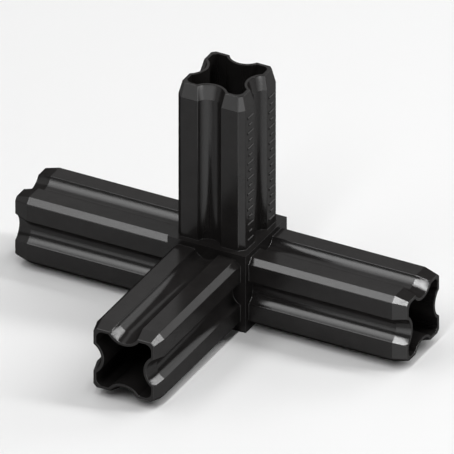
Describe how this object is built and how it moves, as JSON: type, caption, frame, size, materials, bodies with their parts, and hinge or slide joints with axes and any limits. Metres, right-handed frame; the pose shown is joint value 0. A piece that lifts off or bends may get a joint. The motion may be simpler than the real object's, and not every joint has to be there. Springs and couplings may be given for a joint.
{
  "type": "square tube connector",
  "caption": "Black moulded connector for square tube: a plain cube with hollow, grooved legs with tapered tips pointing up, to both sides and to the front, for plugging into tube ends.",
  "frame": {"origin": "centre of the bottom face of the cube, on which the part rests", "axes": "+Z along the upright leg, +X and -X along the side legs, -Y along the front leg"},
  "size_m": [0.125, 0.075, 0.075],
  "materials": {
    "black_plastic": "black moulded nylon with a satin surface"
  },
  "bodies": {
    "root": {"connector": "black_plastic"}
  },
  "joints": []
}
